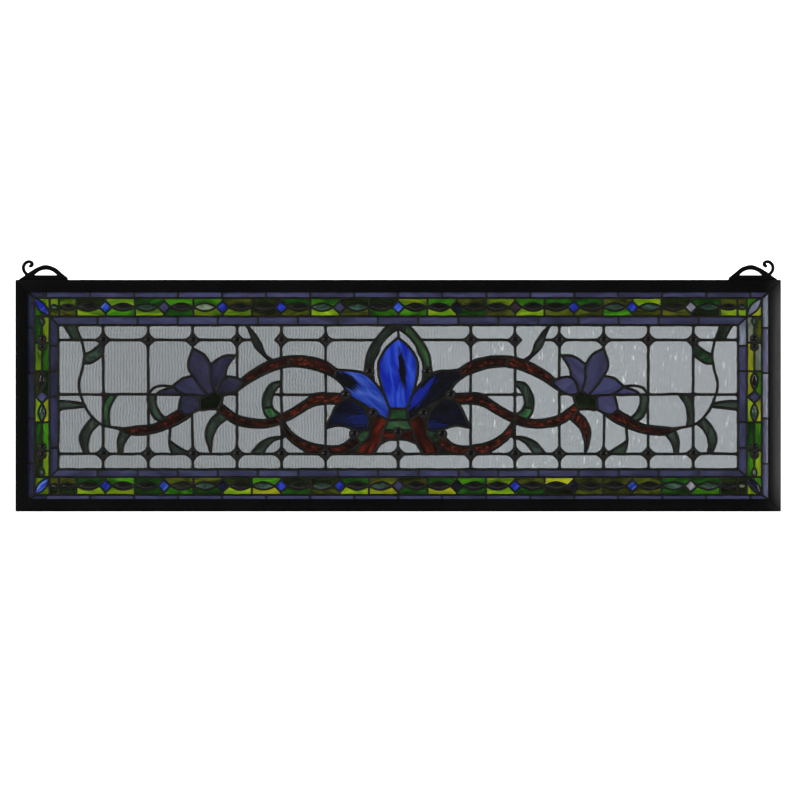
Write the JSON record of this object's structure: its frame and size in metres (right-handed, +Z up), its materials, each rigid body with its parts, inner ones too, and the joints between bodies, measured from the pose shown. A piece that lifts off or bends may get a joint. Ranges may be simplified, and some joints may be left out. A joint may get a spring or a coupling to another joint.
{
  "type": "stained glass window",
  "caption": "Long leaded transom window with a blue lily, trailing vines and a green jewelled border, in a black metal frame with two scrolled hangers.",
  "frame": {"origin": "midway between the eyes of the two hangers, level with the underside of their arches and halfway through the window's depth", "axes": "+X to the viewer's right along the window, +Y away from the viewer through its thickness, +Z up"},
  "size_m": [0.8382, 0.009, 0.2756],
  "materials": {
    "black_frame": "satin black patina",
    "black_hanger": "matt black",
    "lead": "dark patinated lead and solder, lumpy",
    "cobalt_glass": "streaky cobalt blue art glass",
    "night_blue_glass": "streaky dark blue art glass",
    "green_glass": "streaky green art glass",
    "leaf_glass": "streaky dark green art glass",
    "red_brown_glass": "mottled red-brown art glass",
    "slate_glass": "slate violet art glass"
  },
  "bodies": {
    "root": {"arch_glass_left": "green_glass", "arch_glass_right": "green_glass", "calyx_base": "green_glass", "calyx_top": "green_glass", "centre_petal": "cobalt_glass", "flower_calyx_left": "green_glass", "flower_calyx_right": "green_glass", "flower_petal_back_left": "slate_glass", "flower_petal_back_right": "slate_glass", "flower_petal_front_left": "slate_glass", "flower_petal_front_right": "slate_glass", "flower_petal_low_left": "slate_glass", "flower_petal_low_right": "slate_glass", "flower_petal_tall_left": "slate_glass", "flower_petal_tall_right": "slate_glass", "flower_petal_under_left": "slate_glass", "flower_petal_under_right": "slate_glass", "frame_bottom_rail": "black_frame", "frame_left_rail": "black_frame", "frame_right_rail": "black_frame", "frame_top_rail": "black_frame", "hanger_left": "black_hanger", "hanger_right": "black_hanger", "leaded_panel": "lead", "leaf_bright_left": "green_glass", "leaf_bright_right": "green_glass", "leaf_corner_left": "leaf_glass", "leaf_corner_right": "leaf_glass", "leaf_crescent_left": "leaf_glass", "leaf_crescent_right": "leaf_glass", "leaf_curled_left": "leaf_glass", "leaf_curled_right": "leaf_glass", "leaf_hooked_left": "leaf_glass", "leaf_hooked_right": "leaf_glass", "leaf_low_left": "leaf_glass", "leaf_low_right": "leaf_glass", "leaf_short_left": "leaf_glass", "leaf_short_right": "leaf_glass", "leaf_slim_left": "leaf_glass", "leaf_slim_right": "leaf_glass", "leaf_top_left": "leaf_glass", "leaf_top_right": "leaf_glass", "lower_petal_left": "night_blue_glass", "lower_petal_right": "night_blue_glass", "lower_vine_left": "red_brown_glass", "lower_vine_right": "red_brown_glass", "middle_vine_inner_left": "red_brown_glass", "middle_vine_inner_right": "red_brown_glass", "middle_vine_outer_left": "red_brown_glass", "middle_vine_outer_right": "red_brown_glass", "outer_vine_left": "red_brown_glass", "outer_vine_right": "red_brown_glass", "root_stem_left": "red_brown_glass", "root_stem_right": "red_brown_glass", "upper_petal_left": "cobalt_glass", "upper_petal_right": "cobalt_glass", "upper_vine_inner_left": "red_brown_glass", "upper_vine_inner_right": "red_brown_glass", "upper_vine_outer_left": "red_brown_glass", "upper_vine_outer_right": "red_brown_glass"}
  },
  "joints": []
}
